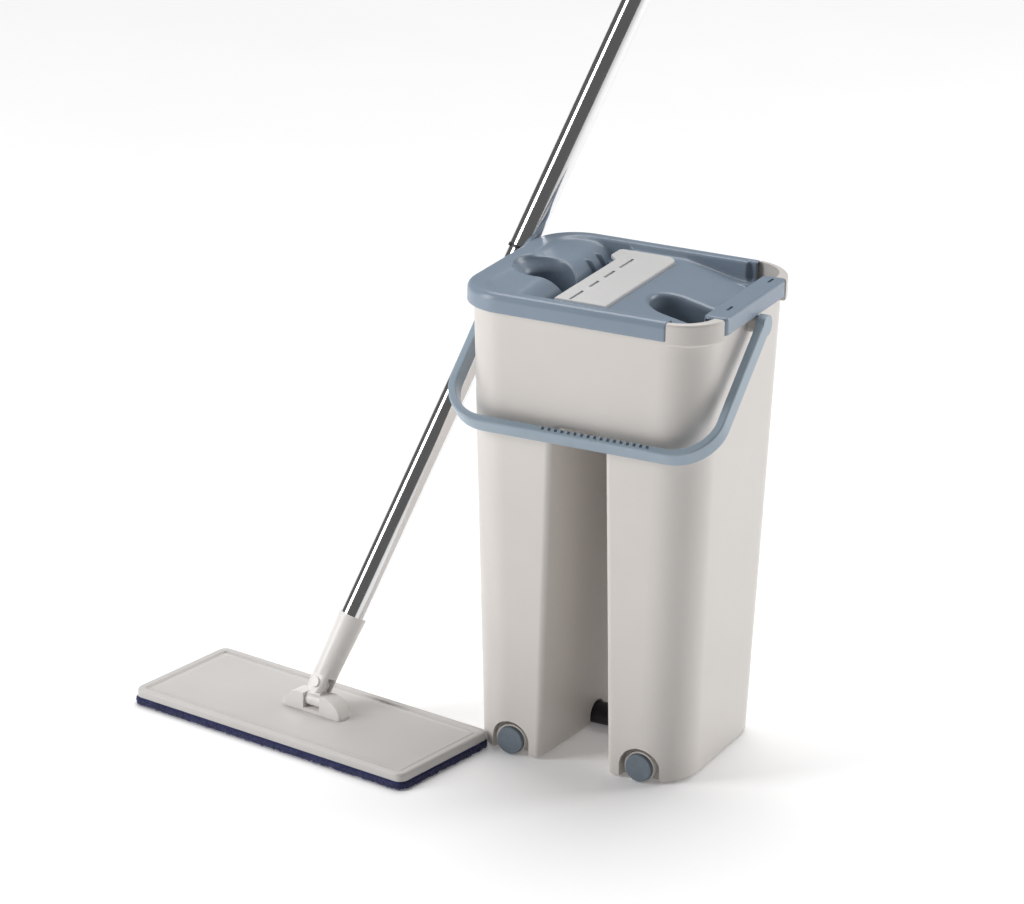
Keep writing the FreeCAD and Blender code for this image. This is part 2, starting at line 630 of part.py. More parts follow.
def mop_plate():
    low = PAD_THICK + 0.3
    plate = rounded_block(PLATE_LENGTH, PLATE_WIDTH, 9.0, low, LIP_TOP)
    plate = fillet_where(plate, 1.6, lambda e: in_box(e, z=(LIP_TOP - 0.1, LIP_TOP + 0.1)))
    tray = rounded_block(PLATE_LENGTH - 16, PLATE_WIDTH - 16, 4.0, PLATE_TOP, LIP_TOP + 1)
    step = rounded_block(PLATE_LENGTH - 10, PLATE_WIDTH - 10, 6.0, LIP_TOP - 0.8, LIP_TOP + 1)
    hollow = rounded_block(PLATE_LENGTH - 6, PLATE_WIDTH - 6, 6.0, low - 1, PLATE_TOP - 2.2)
    plate = plate.cut(tray).cut(step).cut(hollow)
    ribs = [box(-PLATE_LENGTH / 2 + 2, PLATE_LENGTH / 2 - 2, y - 1, y + 1, low + 1.5, PLATE_TOP - 2)
            for y in (-26.0, 4.0, 26.0)]
    ribs += [box(x - 1, x + 1, -PLATE_WIDTH / 2 + 2, PLATE_WIDTH / 2 - 2, low + 1.5, PLATE_TOP - 2)
             for x in (-100.0, -50.0, 0.0, 50.0, 100.0)]
    pads = [box(-PLATE_LENGTH / 2 + 12, PLATE_LENGTH / 2 - 12, y - 11, y + 11, low + 1.3, PLATE_TOP - 2)
            for y in (-HOOK_Y, HOOK_Y)]
    plate = fuse([plate] + ribs + pads)
    plate.translate(V(*PLATE_OFFSET, 0))
    for x in SCREW_X:
        plate = plate.cut(rod(SCREW_R + 0.05, V(x, 0, low), V(x, 0, PLATE_TOP + 2)))
        plate = plate.cut(rod(3.2, V(x, 0, low), V(x, 0, SCREW_SEAT)))
    return plate


def hook_strips():
    end = PLATE_LENGTH / 2 - 14
    strips = [box(-end, end, y - 10, y + 10, PAD_THICK + 0.3, PAD_THICK + 1.6)
              for y in (-HOOK_Y, HOOK_Y)]
    strips = Part.makeCompound(strips)
    strips.translate(V(*PLATE_OFFSET, 0))
    return strips


def mop_pad():
    pad = rounded_block(PLATE_LENGTH + 3.0, PLATE_WIDTH + 3.0, 9.0, 0.0, PAD_THICK)
    pad = fillet_where(pad, 2.0, lambda e: in_box(e, z=(-0.1, 0.1))
                       or in_box(e, z=(PAD_THICK - 0.1, PAD_THICK + 0.1)))
    pad.translate(V(*PLATE_OFFSET, 0))
    return pad


def mop_bracket():
    """Low bracket with two quarter-round ears, one at each end of the long-axis pin."""
    base_z = PLATE_TOP
    parts = [rounded_block(2 * EAR_END, 2 * EAR_HALF, 4.0, base_z, base_z + 3.0)]
    for side in (-1, 1):
        inner = side * EAR_GAP
        outer = side * (EAR_END - 0.4)
        middle = V(inner + side * 17.0, -EAR_HALF, base_z + 12.3)
        start = V(outer, -EAR_HALF, base_z + 1.0)
        peak = V(inner, -EAR_HALF, EAR_TOP)
        wire = Part.Wire([
            Part.LineSegment(V(inner, -EAR_HALF, base_z + 1.0), start).toShape(),
            Part.Arc(start, middle, peak).toShape(),
            Part.LineSegment(peak, V(inner, -EAR_HALF, base_z + 1.0)).toShape(),
        ])
        ear = Part.Face(wire).extrude(V(0, 2 * EAR_HALF, 0))
        plan = rounded_block(2 * EAR_END, 2 * EAR_HALF, 4.0, base_z, EAR_TOP + 1)
        parts.append(ear.common(plan))
    bracket = fuse(parts)
    bracket = bracket.cut(rod(LONG_PIN_R, V(-24, 0, PIN_Z), V(24, 0, PIN_Z)))
    for x in SCREW_X:
        bracket = bracket.cut(rod(SCREW_R + 0.05, V(x, 0, base_z - 1), V(x, 0, base_z + 8.2)))
    return bracket


def bracket_screws():
    screws = []
    for x in SCREW_X:
        shaft = rod(SCREW_R, V(x, 0, SCREW_SEAT), V(x, 0, PLATE_TOP + 8.0))
        head = rod(3.0, V(x, 0, SCREW_SEAT - 1.8), V(x, 0, SCREW_SEAT))
        screws.append(head.fuse(shaft))
    return Part.makeCompound(screws)


def long_pin():
    return rod(LONG_PIN_R - 0.02, V(-22, 0, PIN_Z), V(22, 0, PIN_Z))


# ---------------------------------------------------------------- pole, made upright above the origin
def place_link(shape):
    """Tip a part from upright about the long-axis pin, then place it with the head."""
    shape = shape.copy()
    shape.rotate(V(0, 0, PIN_Z), V(1, 0, 0), -LEAN_BACK)
    return place_head(shape)


def place_pole(shape):
    """Tip a part about the cross pin, then with the link."""
    shape = shape.copy()
    shape.rotate(V(0, 0, CROSS_Z), V(0, 1, 0), LEAN_SIDE)
    return place_link(shape)


def pole_point(distance):
    """A point on the pole's axis, measured up from the cross pin."""
    vertex = Part.Vertex(0, 0, CROSS_Z + distance)
    return place_pole(vertex).Point


def pole_axis():
    axis = pole_point(100.0) - pole_point(0.0)
    axis.normalize()
    return axis


def swivel_link():
    """Cross-shaped block: an eye on the long-axis pin and an eye on the cross pin."""
    lower = rod(6.0, V(-EAR_GAP + 0.4, 0, PIN_Z), V(EAR_GAP - 0.4, 0, PIN_Z))
    neck = box(-5.4, 5.4, -4.5, 4.5, PIN_Z, CROSS_Z)
    upper = rod(6.0, V(0, -4.8, CROSS_Z), V(0, 4.8, CROSS_Z))
    link = fuse([lower, neck, upper])
    link = link.cut(rod(LONG_PIN_R + 0.05, V(-20, 0, PIN_Z), V(20, 0, PIN_Z)))
    return link.cut(rod(CROSS_PIN_R, V(0, -20, CROSS_Z), V(0, 20, CROSS_Z)))


def connector():
    """Socket for the tube, ending in two cheeks that straddle the link."""
    end = CROSS_Z + CONNECTOR_END
    sleeve = Part.makeCone(10.6, 12.6, CONNECTOR_END - 4.0, V(0, 0, CROSS_Z + 4.0))
    cheeks = rounded_block(2 * CHEEK_R, 2 * CHEEK_Y, 4.5, CROSS_Z - CHEEK_R, CROSS_Z + 16.0)
    below = rod(CHEEK_R, V(0, -CHEEK_Y, CROSS_Z), V(0, CHEEK_Y, CROSS_Z))
    cheeks = cheeks.common(below.fuse(box(-CHEEK_R, CHEEK_R, -CHEEK_Y, CHEEK_Y, CROSS_Z, CROSS_Z + 16.0)))
    body = fuse([sleeve.common(box(-13, 13, -13, 13, CROSS_Z + 8.0, end)), cheeks])
    gap = rod(11.5, V(0, -5.2, CROSS_Z), V(0, 5.2, CROSS_Z))
    body = body.cut(gap).cut(box(-12, 12, -5.2, 5.2, CROSS_Z - 20, CROSS_Z))
    body = body.cut(rod(TUBE_R + 0.02, V(0, 0, CROSS_Z + 30.0), V(0, 0, end + 1)))
    return body.cut(rod(CROSS_PIN_R + 0.05, V(0, -20, CROSS_Z), V(0, 20, CROSS_Z)))


def cross_pin():
    return rod(CROSS_PIN_R - 0.02, V(0, -CHEEK_Y, CROSS_Z), V(0, CHEEK_Y, CROSS_Z))


def pin_caps():
    caps = []
    for side in (-1, 1):
        outside = side * (CHEEK_Y + 1.5)
        span = (min(outside * 0.99, outside * 1.01), max(outside * 0.99, outside * 1.01))
        cap = rod(4.8, V(0, side * CHEEK_Y, CROSS_Z), V(0, outside, CROSS_Z))
        caps.append(fillet_where(cap, 0.9, lambda e: in_box(e, y=span)))
    return Part.makeCompound(caps)


def lower_tube():
    start = V(0, 0, CROSS_Z + 30.5)
    return ring(TUBE_R, TUBE_BORE, start, V(0, 0, CROSS_Z + LOWER_TUBE_END))


def lock_plug():
    """Plug in the top of the lower tube that carries the twist lock's spindle."""
    top = CROSS_Z + LOWER_TUBE_END
    body = rod(TUBE_BORE - 0.02, V(0, 0, top - 30), V(0, 0, top))
    flange = rod(TUBE_R, V(0, 0, top), V(0, 0, top + 2.0))
    spindle = rod(4.0, V(0, 0, top + 2.0), V(0, 0, top + 26.0))
    return fuse([body, flange, spindle])


def lock_cam():
    """Off-centre ring on the spindle that jams in the outer tube when the pole is twisted."""
    top = CROSS_Z + LOWER_TUBE_END
    cam = rod(10.2, V(0, 0, top + 4.0), V(0, 0, top + 24.0))
    cam = cam.cut(rod(4.02, V(0, 0, top + 3.0), V(0, 0, top + 25.0)))
    return cam.cut(box(-1.2, 1.2, 0, 12, top + 3.0, top + 25.0))


def guide_bush():
    """Plastic bush in the outer tube's lower end."""
    start = CROSS_Z + OUTER_TUBE_START
    return ring(OUTER_TUBE_R + 0.5, TUBE_R + 0.05, V(0, 0, start - 3.0), V(0, 0, start))


def upper_tube():
    start = V(0, 0, CROSS_Z + OUTER_TUBE_START)
    return ring(OUTER_TUBE_R, OUTER_TUBE_BORE, start, V(0, 0, CROSS_Z + OUTER_TUBE_END))


def hand_grip():
    """Moulded grip over the top of the outer tube."""
    low = CROSS_Z + OUTER_TUBE_END - 110.0
    top = CROSS_Z + OUTER_TUBE_END
    radii = [(low, 13.0), (low + 8, 14.2), (low + 55, 13.2), (top - 8, 14.4), (top, 13.6)]
    bore = OUTER_TUBE_R + 0.02
    profile = [V(bore, 0, low)] + [V(r, 0, z) for z, r in radii] + [V(bore, 0, top)]
    curve = Part.BSplineCurve()
    curve.interpolate(profile[1:-1])
    edges = [Part.LineSegment(profile[0], profile[1]).toShape(), curve.toShape(),
             Part.LineSegment(profile[-2], profile[-1]).toShape(),
             Part.LineSegment(profile[-1], profile[0]).toShape()]
    return Part.Face(Part.Wire(edges)).revolve(V(0, 0, 0), V(0, 0, 1), 360)


def end_cap():
    """Cap with a flat eye to hang the mop by."""
    top = CROSS_Z + OUTER_TUBE_END
    stub = rod(OUTER_TUBE_BORE - 0.02, V(0, 0, top - 16), V(0, 0, top + 0.5))
    flange = rod(13.6, V(0, 0, top + 0.3), V(0, 0, top + 8.0))
    flange = fillet_where(flange, 3.0, lambda e: in_box(e, z=(top + 7.9, top + 8.1)))
    eye_z = CROSS_Z + POLE_END - 12.0
    eye = rod(12.0, V(0, -3.5, eye_z), V(0, 3.5, eye_z))
    neck = box(-9.0, 9.0, -3.5, 3.5, top + 4.0, eye_z)
    cap = fuse([stub, flange, eye, neck])
    return cap.cut(rod(HANG_HOLE_R, V(0, -6, eye_z), V(0, 6, eye_z)))


# ---------------------------------------------------------------- how the pole leans
def rim_side_lean():
    """Lean of the pole towards the bucket that leaves it just clear of the cover's left rim."""
    dx = -RIM_WIDTH / 2 - HEAD_X
    dz = SET_HEIGHT - 8.0 - PIN_Z
    return math.atan2(dx, dz) - math.asin(CLEARANCE_TO_RIM / math.hypot(dx, dz))


# the pole touches the rim this far back, which with the lean above fixes its direction
REST_Y = 71.0
POLE_RUN_Z = SET_HEIGHT - PIN_Z
POLE_DIR = V(POLE_RUN_Z * math.tan(rim_side_lean()), REST_Y - HEAD_Y, POLE_RUN_Z)
YAW = math.radians(HEAD_YAW)
ALONG_HEAD = POLE_DIR.x * math.cos(YAW) + POLE_DIR.y * math.sin(YAW)
ACROSS_HEAD = POLE_DIR.y * math.cos(YAW) - POLE_DIR.x * math.sin(YAW)
LEAN_BACK = math.degrees(math.atan2(ACROSS_HEAD, POLE_DIR.z))
LEAN_SIDE = math.degrees(math.atan2(ALONG_HEAD, math.hypot(ACROSS_HEAD, POLE_DIR.z)))


def make_parts():
    parts = {
        "bucket_body": bucket_body(),
        "foot_pads": foot_pads(),
        "roller_axle": roller_axle(),
        "floor_roller": floor_roller(),
        "cover_tray": cover_tray(),
        "scraper_plate": scraper_plate(),
        "scraper_lip": scraper_lip(),
        "clip_bar": clip_bar(),
        "carry_handle": carry_handle(),
    }
    for name, side in (("left", -1), ("right", 1)):
        parts["drain_plug_" + name] = drain_plug(side)
        parts["drain_gasket_" + name] = drain_gasket(side)
        parts["handle_pin_" + name] = bail_pin(side)
    head = {
        "mop_plate": mop_plate(),
        "hook_strips": hook_strips(),
        "mop_pad": mop_pad(),
        "mop_bracket": mop_bracket(),
        "bracket_screws": bracket_screws(),
        "long_pin": long_pin(),
    }
    for name, shape in head.items():
        parts[name] = place_head(shape)
    parts["swivel_link"] = place_link(swivel_link())
    parts["cross_pin"] = place_link(cross_pin())
    pole = {
        "connector": connector(),
        "pin_caps": pin_caps(),
        "lower_tube": lower_tube(),
        "lock_plug": lock_plug(),
        "lock_cam": lock_cam(),
        "guide_bush": guide_bush(),
        "upper_tube": upper_tube(),
        "hand_grip": hand_grip(),
        "end_cap": end_cap(),
    }
    for name, shape in pole.items():
        parts[name] = place_pole(shape)
    return parts


def set_shift(parts):
    """Move that puts the origin under the middle of the whole set."""
    whole = FreeCAD.BoundBox()
    for shape in parts.values():
        whole.add(shape.optimalBoundingBox(False))
    return V(-(whole.XMin + whole.XMax) / 2, -(whole.YMin + whole.YMax) / 2, -whole.ZMin)


PARTS = make_parts()
SHIFT = set_shift(PARTS)
os.makedirs("parts", exist_ok=True)
for node, solid in PARTS.items():
    solid.translate(SHIFT)
    solid.exportStep("parts/" + node + ".step")
    valid = "ok" if solid.isValid() else "INVALID"
    print(node, valid, len(solid.Solids), "solids", round(solid.Volume / 1000.0, 2), "cm3")
print("shift", [round(value, 3) for value in SHIFT], "lean", round(LEAN_BACK, 3), round(LEAN_SIDE, 3))
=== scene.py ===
import json
import math

import bmesh
import bpy
import numpy as np
import openvdb
from mathutils import Matrix, Vector


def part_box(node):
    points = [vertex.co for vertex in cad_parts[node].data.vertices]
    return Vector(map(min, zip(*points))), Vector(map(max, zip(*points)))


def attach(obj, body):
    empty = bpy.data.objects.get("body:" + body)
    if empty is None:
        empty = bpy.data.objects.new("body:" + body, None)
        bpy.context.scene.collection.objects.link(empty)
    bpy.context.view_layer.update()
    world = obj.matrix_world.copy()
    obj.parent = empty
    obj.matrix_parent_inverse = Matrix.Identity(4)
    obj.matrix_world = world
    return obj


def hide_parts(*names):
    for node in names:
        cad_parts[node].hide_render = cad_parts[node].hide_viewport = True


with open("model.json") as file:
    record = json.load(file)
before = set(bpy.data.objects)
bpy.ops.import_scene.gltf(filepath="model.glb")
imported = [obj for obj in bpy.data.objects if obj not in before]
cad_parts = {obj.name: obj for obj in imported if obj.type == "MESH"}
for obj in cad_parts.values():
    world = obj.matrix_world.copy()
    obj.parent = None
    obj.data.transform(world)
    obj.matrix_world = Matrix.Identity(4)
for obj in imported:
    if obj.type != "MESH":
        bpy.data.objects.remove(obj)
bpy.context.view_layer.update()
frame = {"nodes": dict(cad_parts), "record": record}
NODES = frame["nodes"]
rng = np.random.RandomState(11)

# ------------------------------------------------------------------ places, in bucket millimetres
handle_low, handle_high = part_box("carry_handle")
cover_low, cover_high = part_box("cover_tray")
OFFSET = Vector(((handle_low.x + handle_high.x) / 2, (cover_low.y + cover_high.y) / 2, 0.0))
TOP = 420.0                      # top of the cover's rim
SKIRT_LOW = 403.5
COVER_END = 79.0                 # right end of the cover
COVER_LOW = 374.0                # lowest part of its inner walls
THICK = 2.2                      # its wall
RIM_ROUND = 6.0                  # its upper edge
RIM_HALF = (118.9, 100.5)        # the cover's rim
RIM_CORNER = 44.0
WALL_HALF = (112.0, 98.0)        # outline of the bucket wall inside the rim
WALL_CORNER = 38.0
WELL_LEFT = -99.0                # the sunken part of the cover
WELL_HALF_Y = 86.0
WELL_CORNER = 24.0
GUIDE_X = -74.0                  # rolled beam that the wet pad is drawn over
GUIDE_Z = 394.5
GUIDE_R = 22.0
FIN_R = 25.6
FIN_PLACES = (44.8, 64.8)        # y of the fins on it
SLOT_LEFT = -52.0                # squeeze slot
SLOT_RIGHT = -34.5
SLOT_HALF_Y = 75.0
SLOT_END_TOP = 403.0
PAN_TOP = 414.0                  # level under the scraper, then falling to the right
PAN_BREAK = 15.5
PAN_SLOPE = 0.21
LEFT_RECESS = (-72.0, -3.0, 23.0)    # x, y, radius
RIGHT_RECESS = (51.0, -16.0, 21.0)


def place(x, y, z):
    """A point in bucket millimetres, in the row frame."""
    return Vector((x / 1000.0, y / 1000.0, z / 1000.0)) + OFFSET


# ------------------------------------------------------------------ materials
def node_tree(name):
    mat = bpy.data.materials.new(name)
    mat.use_nodes = True
    tree = mat.node_tree
    tree.nodes.clear()
    out = tree.nodes.new("ShaderNodeOutputMaterial")
    shader = tree.nodes.new("ShaderNodeBsdfPrincipled")
    tree.links.new(shader.outputs[0], out.inputs[0])
    coords = tree.nodes.new("ShaderNodeTexCoord")
    return mat, tree, shader, coords.outputs["Object"]


def noise(tree, coords, scale, detail=3.0, rough=0.55, stretch=None):
    node = tree.nodes.new("ShaderNodeTexNoise")
    node.inputs["Scale"].default_value = scale
    node.inputs["Detail"].default_value = detail
    node.inputs["Roughness"].default_value = rough
    if stretch is None:
        tree.links.new(coords, node.inputs["Vector"])
    else:
        mapping = tree.nodes.new("ShaderNodeMapping")
        mapping.inputs["Scale"].default_value = stretch
        tree.links.new(coords, mapping.inputs["Vector"])
        tree.links.new(mapping.outputs[0], node.inputs["Vector"])
    return node.outputs["Fac"]


def ramp(tree, fac, stops):
    node = tree.nodes.new("ShaderNodeValToRGB")
    while len(node.color_ramp.elements) < len(stops):
        node.color_ramp.elements.new(0.5)
    for element, (at, value) in zip(node.color_ramp.elements, stops):
        element.position = at
        if not hasattr(value, "__len__"):
            value = (value, value, value)
        element.color = (*value[:3], 1.0)
    tree.links.new(fac, node.inputs[0])
    return node.outputs["Color"]


def bump(tree, height, distance, strength=1.0, under=None):
    node = tree.nodes.new("ShaderNodeBump")
    node.inputs["Distance"].default_value = distance
    node.inputs["Strength"].default_value = strength
    tree.links.new(height, node.inputs["Height"])
    if under is not None:
        tree.links.new(under, node.inputs["Normal"])
    return node.outputs["Normal"]


def scaled(colour, k):
    return tuple(min(1.0, c * k) for c in colour)


def plastic(name, colour, rough=0.38, spread=0.03, grain=0.00004):
    """Moulded plastic: fine spark-erosion grain, slight flow marks, faint scuffs in the gloss."""
    mat, tree, shader, co = node_tree(name)
    broad = noise(tree, co, 14.0, 4.0)
    shades = [(0.3, scaled(colour, 1 - spread)), (0.7, scaled(colour, 1 + spread))]
    tree.links.new(ramp(tree, broad, shades), shader.inputs["Base Color"])
    scuff = noise(tree, co, 90.0, 6.0, 0.7, (1.0, 1.0, 0.35))
    gloss = [(0.35, rough - 0.02), (0.75, rough + 0.04)]
    tree.links.new(ramp(tree, scuff, gloss), shader.inputs["Roughness"])
    fine = bump(tree, noise(tree, co, 1500.0, 2.0), grain, 0.6)
    wave = bump(tree, noise(tree, co, 22.0, 2.0), 0.00035, 0.12, fine)
    tree.links.new(wave, shader.inputs["Normal"])
    return mat


def rubber(name, colour):
    """Matt rubber with a dusty bloom."""
    mat, tree, shader, co = node_tree(name)
    dust = noise(tree, co, 160.0, 6.0, 0.7)
    shades = [(0.3, colour), (0.8, scaled(colour, 1.35))]
    tree.links.new(ramp(tree, dust, shades), shader.inputs["Base Color"])
    tree.links.new(ramp(tree, dust, [(0.3, 0.55), (0.8, 0.75)]), shader.inputs["Roughness"])
    tree.links.new(bump(tree, noise(tree, co, 700.0, 3.0), 0.00008, 0.7), shader.inputs["Normal"])
    shader.inputs["Specular IOR Level"].default_value = 0.4
    return mat


def metal(name, colour, rough, axis, line=0.00001):
    """Drawn or polished metal with fine lines along axis."""
    mat, tree, shader, co = node_tree(name)
    aligned = tree.nodes.new("ShaderNodeVectorRotate")
    aligned.rotation_type = "EULER_XYZ"
    upright = Vector(axis).rotation_difference(Vector((0, 0, 1)))
    aligned.inputs["Rotation"].default_value = upright.to_euler()
    tree.links.new(co, aligned.inputs["Vector"])
    lines = noise(tree, aligned.outputs[0], 1200.0, 3.0, 0.6, (1.0, 1.0, 0.01))
    smear = noise(tree, aligned.outputs[0], 30.0, 5.0, 0.65)
    shades = [(0.3, scaled(colour, 0.95)), (0.7, colour)]
    tree.links.new(ramp(tree, smear, shades), shader.inputs["Base Color"])
    tree.links.new(ramp(tree, smear, [(0.35, rough), (0.8, rough + 0.06)]), shader.inputs["Roughness"])
    tree.links.new(bump(tree, lines, line, 0.5), shader.inputs["Normal"])
    shader.inputs["Metallic"].default_value = 1.0
    return mat


def cloth(name, low, high, scale=900.0):
    """Fibre or looped cloth."""
    mat, tree, shader, co = node_tree(name)
    pile = noise(tree, co, scale, 4.0, 0.7)
    patch = noise(tree, co, 60.0, 3.0)
    mix = tree.nodes.new("ShaderNodeMath")
    mix.operation = "MULTIPLY_ADD"
    mix.inputs[1].default_value = 0.35
    tree.links.new(patch, mix.inputs[0])
    tree.links.new(pile, mix.inputs[2])
    tree.links.new(ramp(tree, mix.outputs[0], [(0.5, low), (0.85, high)]), shader.inputs["Base Color"])
    tree.links.new(bump(tree, pile, 0.0006, 0.8), shader.inputs["Normal"])
    shader.inputs["Roughness"].default_value = 0.85
    shader.inputs["Sheen Weight"].default_value = 0.35
    shader.inputs["Sheen Roughness"].default_value = 0.4
    return mat


def middle_of(node):
    low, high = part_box(node)
    return Vector(low + high) / 2


POLE_AXIS = (middle_of("end_cap") - middle_of("connector")).normalized()

BUCKET_COLOUR = (0.70, 0.662, 0.628)
COVER_COLOUR = (0.24, 0.30, 0.375)
BAIL_COLOUR = (0.31, 0.385, 0.455)
MATERIALS = {
    "bucket_plastic": plastic("bucket_plastic", BUCKET_COLOUR, 0.36, 0.015),
    "cover_plastic": plastic("cover_plastic", COVER_COLOUR, 0.30, 0.03),
    "plate_plastic": plastic("plate_plastic", (0.66, 0.655, 0.65), 0.40, 0.015),
    "plug_rubber": rubber("plug_rubber", (0.15, 0.18, 0.215)),
    "black_rubber": rubber("black_rubber", (0.03, 0.03, 0.032)),
    "black_plastic": plastic("black_plastic", (0.012, 0.012, 0.014), 0.4, 0.1),
    "steel_pin": metal("steel_pin", (0.55, 0.55, 0.56), 0.28, (1, 0, 0)),
    "lip_rubber": rubber("lip_rubber", (0.10, 0.125, 0.155)),
    "mop_plastic": plastic("mop_plastic", (0.585, 0.562, 0.545), 0.42, 0.02, 0.00009),
    "hook_tape": cloth("hook_tape", (0.02, 0.02, 0.02), (0.07, 0.07, 0.07), 1500.0),
    "microfibre": cloth("microfibre", (0.012, 0.016, 0.075), (0.06, 0.07, 0.23)),
    "white_plastic": plastic("white_plastic", (0.84, 0.815, 0.79), 0.30, 0.015),
    "chrome_tube": metal("chrome_tube", (0.80, 0.80, 0.81), 0.07, POLE_AXIS, 0.000003),
}
SLOTS = {row["node"]: row["material_slot"] for row in frame["record"]["subparts"]}


def paint(obj, slot_name):
    obj.data.materials.clear()
    obj.data.materials.append(MATERIALS[slot_name])
    return obj


for node, slot_name in SLOTS.items():
    paint(NODES[node], slot_name)
NODES["carry_handle"].data.materials[0] = plastic("bail_plastic", BAIL_COLOUR, 0.33, 0.03)


# ------------------------------------------------------------------ solids from distance fields
def rounded_rect(x, y, half_x, half_y, radius):
    """Signed distance to a rounded rectangle, negative inside."""
    qx = np.abs(x) - (half_x - radius)
    qy = np.abs(y) - (half_y - radius)
    outside = np.hypot(np.maximum(qx, 0), np.maximum(qy, 0))
    return outside + np.minimum(np.maximum(qx, qy), 0) - radius


def smin(a, b, k):
    h = np.clip(0.5 + 0.5 * (b - a) / k, 0, 1)
    return b * (1 - h) + a * h - k * h * (1 - h)


def smax(a, b, k):
    return -smin(-a, -b, k)


def smooth(t):
    t = np.clip(t, 0, 1)
    return t * t * (3 - 2 * t)


def solid_from_field(name, field, low, step):
    """Mesh of the zero surface of a distance field in bucket millimetres."""
    grid = openvdb.FloatGrid()
    grid.background = 10.0
    grid.copyFromArray(field.astype(np.float32))
    points, tris, quads = grid.convertToPolygons(isovalue=0.0, adaptivity=0.0)
    mesh = bpy.data.meshes.new(name)
    co = (np.array(points) * step + np.array(low)) / 1000.0 + np.array(OFFSET)
    faces = [list(map(int, q)) for q in quads] + [list(map(int, t)) for t in tris]
    mesh.from_pydata(co.tolist(), [], faces)
    mesh.update()
    obj = bpy.data.objects.new(name, mesh)
    bpy.context.scene.collection.objects.link(obj)
    bm = bmesh.new()
    bm.from_mesh(mesh)
    bmesh.ops.recalc_face_normals(bm, faces=bm.faces)
    bm.to_mesh(mesh)
    bm.free()
    mesh.shade_smooth()
    return obj


def mesh_object(name, bm, place_matrix):
    """Smooth object from a bmesh, moved by the matrix."""
    mesh = bpy.data.meshes.new(name)
    bm.to_mesh(mesh)
    bm.free()
    mesh.shade_smooth()
    obj = bpy.data.objects.new(name, mesh)
    bpy.context.scene.collection.objects.link(obj)
    mesh.transform(place_matrix)
    return obj


def skin(bm, rings):
    """Closed surface over rings of the same number of points, capped at both ends."""
    count = len(rings[0])
    for low, high in zip(rings, rings[1:]):
        for i in range(count):
            j = (i + 1) % count
            bm.faces.new((low[i], low[j], high[j], high[i]))
    bm.faces.new(list(reversed(rings[0])))
    bm.faces.new(rings[-1])


def cover_block(outline, z):
    """The cover as a solid block with a rounded upper edge."""
    side = outline + RIM_ROUND
    up = z - TOP + RIM_ROUND
    corner = np.hypot(np.maximum(side, 0), np.maximum(up, 0))
    return np.minimum(np.maximum(side, up), 0) + corner - RIM_ROUND


def cover_void(x, y, z):
    """What is hollowed out from above: the well over the guide and pan, and the two pole recesses."""
    past_end = COVER_END + 60.0
    well_x = x - (WELL_LEFT + past_end) / 2
    well = rounded_rect(well_x, y, (past_end - WELL_LEFT) / 2, WELL_HALF_Y, WELL_CORNER)
    well = well + 0.12 * (TOP - z)
    step_out = np.maximum(71.5 - x, np.maximum(-y, y - 89.5))
    well = smin(well, step_out, 1.0)

    crown = GUIDE_Z + GUIDE_R + 0.07 * np.maximum(0, GUIDE_X - x)
    roll = np.hypot(x - GUIDE_X, z - GUIDE_Z) - GUIDE_R
    guide = np.where(z < GUIDE_Z, x - SLOT_LEFT, np.where(x < GUIDE_X, z - crown, roll))
    pan_z = PAN_TOP - PAN_SLOPE * np.maximum(0, x - PAN_BREAK)
    pan = smax(SLOT_RIGHT - x, (z - pan_z) / 1.02, 1.0)
    ends = np.maximum(SLOT_HALF_Y - np.abs(y), z - SLOT_END_TOP)
    solid = smin(smin(guide, pan, 0.8), ends, 2.0)
    void = smax(well, -solid, 5.0)

    mid_x, mid_y, radius = LEFT_RECESS
    reach = np.hypot(x - mid_x, y - mid_y)
    leftness = np.clip(0.5 - 0.5 * (x - mid_x) / np.maximum(reach, 1), 0, 1)
    flare = 9.0 * smooth((z - 405.0) / 14.0) * smooth(leftness * 1.4 - 0.4)
    left_hole = np.maximum(reach - radius - flare, x + 40.0)
    void = smin(void, left_hole * 0.9, 1.6)

    mid_x, mid_y, radius = RIGHT_RECESS
    scoop = np.hypot(x - mid_x, y - mid_y) - radius
    scoop = np.where(x > mid_x, np.abs(y - mid_y) - radius, scoop)
    return smin(void, scoop - 1.2 * smooth((z - 398.0) / 12.0), 5.0)


def guide_fin(x, y, z, fin_y):
    fin = np.maximum(np.abs(y - fin_y) - 0.9, np.hypot(x - GUIDE_X, z - GUIDE_Z) - FIN_R)
    return np.maximum(fin, np.maximum(-64.0 - x, np.abs(z - 397.0) - 16.0))


def cover_field(x, y, z):
    """The cover: rounded rim, rolled guide, pole recesses, sloping pan."""
    outline = rounded_rect(x, y, *RIM_HALF, RIM_CORNER)
    block = smax(cover_block(outline, z), -cover_void(x, y, z), 3.0)
    shell = np.maximum(block, -(block + THICK))
    for fin_y in FIN_PLACES:
        shell = smin(shell, guide_fin(x, y, z, fin_y), 1.2)
    wall = rounded_rect(x, y, *WALL_HALF, WALL_CORNER)
    in_height = np.maximum(SKIRT_LOW - z, z - (TOP - RIM_ROUND))
    shell = np.minimum(shell, np.maximum(np.maximum(outline, -wall), in_height))
    skirt_gap = np.maximum(z - SKIRT_LOW, -(outline + 7.0))
    shell = np.maximum(shell, -skirt_gap)
    shell = np.maximum(shell, COVER_LOW - z)
    return np.maximum(shell, x - COVER_END)


def make_cover():
    step = 0.8
    low = (-121.0, -103.0, 371.0)
    size = (203.0, 206.0, 51.5)
    axes = [np.arange(0, s, step) + l for s, l in zip(size, low)]
    x, y, z = np.meshgrid(*axes, indexing="ij")
    cover = solid_from_field("cover_moulding", cover_field(x, y, z), low, step)
    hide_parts("cover_tray")
    paint(cover, "cover_plastic")
    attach(cover, "root")
    return cover


make_cover()


